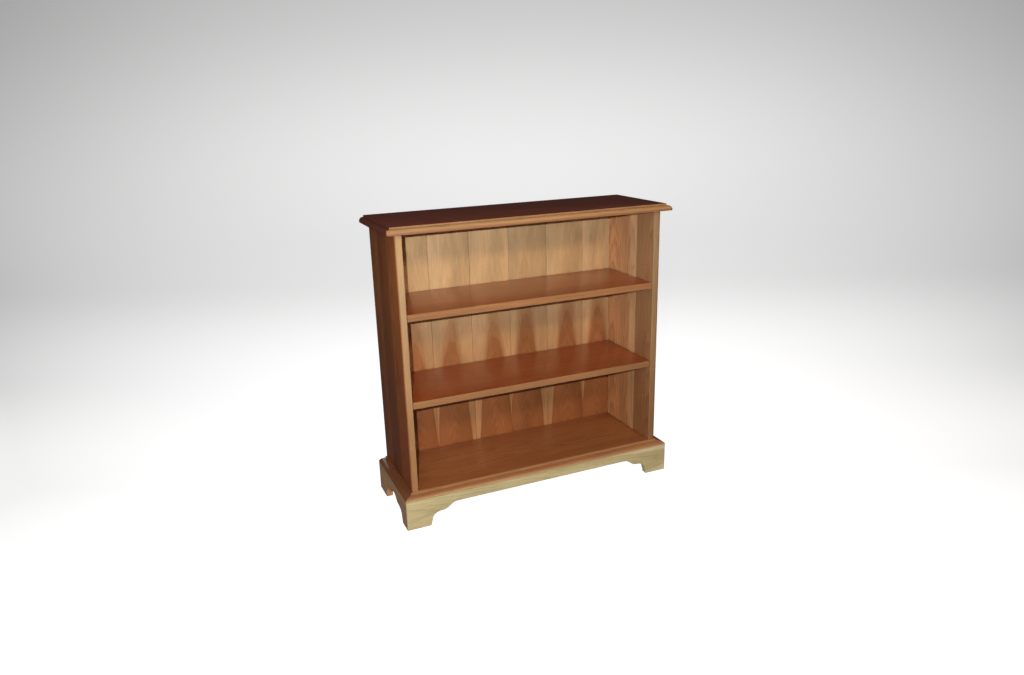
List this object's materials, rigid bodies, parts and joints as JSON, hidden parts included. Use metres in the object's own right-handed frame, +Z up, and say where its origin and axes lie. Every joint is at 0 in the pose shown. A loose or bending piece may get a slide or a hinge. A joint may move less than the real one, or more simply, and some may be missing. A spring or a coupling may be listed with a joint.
{
  "type": "open bookcase",
  "caption": "Low open wooden bookcase with a moulded top, loose shelves resting on movable pegs, a matched-board back and a bracket-foot plinth.",
  "frame": {"origin": "on the floor, at the middle of the overall width and depth", "axes": "+X to the right as seen from the front, +Y from the open front to the back, +Z up"},
  "size_m": [0.922, 0.3154, 0.914],
  "materials": {
    "top_wood": "dark reddish-brown stain under satin lacquer",
    "side_wood": "warm brown stain under satin lacquer, staves of varied tone",
    "shelf_wood": "warm brown stain under satin lacquer",
    "back_wood": "clear satin lacquer over boards with pale sapwood edges",
    "moulding_wood": "golden brown stain under satin lacquer",
    "plinth_wood": "pale straw timber under satin lacquer",
    "rough_wood": "planed and left bare",
    "peg_steel": "bright zinc plated",
    "screw_steel": "zinc plated"
  },
  "bodies": {
    "carcass": {"top_board": "top_wood", "left_side": "side_wood", "right_side": "side_wood", "bottom_board": "shelf_wood", "plinth_front": "plinth_wood", "plinth_left": "plinth_wood", "plinth_right": "plinth_wood", "plinth_back_rail": "rough_wood", "base_mould_front": "moulding_wood", "base_mould_left": "moulding_wood", "base_mould_right": "moulding_wood", "back_board_1": "back_wood", "back_board_2": "back_wood", "back_board_3": "back_wood", "back_board_4": "back_wood", "back_board_5": "back_wood", "back_board_6": "back_wood", "glue_block_left_front": "rough_wood", "glue_block_left_back": "rough_wood", "glue_block_right_front": "rough_wood", "glue_block_right_back": "rough_wood", "top_dowel_left_1": "rough_wood", "top_dowel_left_2": "rough_wood", "top_dowel_left_3": "rough_wood", "top_dowel_right_1": "rough_wood", "top_dowel_right_2": "rough_wood", "top_dowel_right_3": "rough_wood", "block_screw_left_front": "screw_steel", "block_screw_left_back": "screw_steel", "block_screw_right_front": "screw_steel", "block_screw_right_back": "screw_steel", "back_screw_top_1": "screw_steel", "back_screw_bottom_1": "screw_steel", "back_screw_top_2": "screw_steel", "back_screw_bottom_2": "screw_steel", "back_screw_top_3": "screw_steel", "back_screw_bottom_3": "screw_steel", "back_screw_top_4": "screw_steel", "back_screw_bottom_4": "screw_steel", "back_screw_top_5": "screw_steel", "back_screw_bottom_5": "screw_steel", "back_screw_top_6": "screw_steel", "back_screw_bottom_6": "screw_steel"},
    "shelf_upper": {"upper_shelf": "shelf_wood"},
    "shelf_lower": {"lower_shelf": "shelf_wood"},
    "peg_upper_left_front": {"upper_peg_left_front": "peg_steel"},
    "peg_upper_left_back": {"upper_peg_left_back": "peg_steel"},
    "peg_upper_right_front": {"upper_peg_right_front": "peg_steel"},
    "peg_upper_right_back": {"upper_peg_right_back": "peg_steel"},
    "peg_lower_left_front": {"lower_peg_left_front": "peg_steel"},
    "peg_lower_left_back": {"lower_peg_left_back": "peg_steel"},
    "peg_lower_right_front": {"lower_peg_right_front": "peg_steel"},
    "peg_lower_right_back": {"lower_peg_right_back": "peg_steel"}
  },
  "joints": [
    {"name": "upper_shelf_lift", "type": "slide", "parent": "carcass", "child": "shelf_upper", "axis": [0, 0, 1], "range_m": [0, 0.225]},
    {"name": "lower_shelf_lift", "type": "slide", "parent": "carcass", "child": "shelf_lower", "axis": [0, 0, 1], "range_m": [0, 0.235]},
    {"name": "peg_upper_left_front_pull", "type": "slide", "parent": "carcass", "child": "peg_upper_left_front", "axis": [1, 0, 0], "range_m": [0, 0.012]},
    {"name": "peg_upper_left_back_pull", "type": "slide", "parent": "carcass", "child": "peg_upper_left_back", "axis": [1, 0, 0], "range_m": [0, 0.012]},
    {"name": "peg_upper_right_front_pull", "type": "slide", "parent": "carcass", "child": "peg_upper_right_front", "axis": [-1, 0, 0], "range_m": [0, 0.012]},
    {"name": "peg_upper_right_back_pull", "type": "slide", "parent": "carcass", "child": "peg_upper_right_back", "axis": [-1, 0, 0], "range_m": [0, 0.012]},
    {"name": "peg_lower_left_front_pull", "type": "slide", "parent": "carcass", "child": "peg_lower_left_front", "axis": [1, 0, 0], "range_m": [0, 0.012]},
    {"name": "peg_lower_left_back_pull", "type": "slide", "parent": "carcass", "child": "peg_lower_left_back", "axis": [1, 0, 0], "range_m": [0, 0.012]},
    {"name": "peg_lower_right_front_pull", "type": "slide", "parent": "carcass", "child": "peg_lower_right_front", "axis": [-1, 0, 0], "range_m": [0, 0.012]},
    {"name": "peg_lower_right_back_pull", "type": "slide", "parent": "carcass", "child": "peg_lower_right_back", "axis": [-1, 0, 0], "range_m": [0, 0.012]}
  ]
}
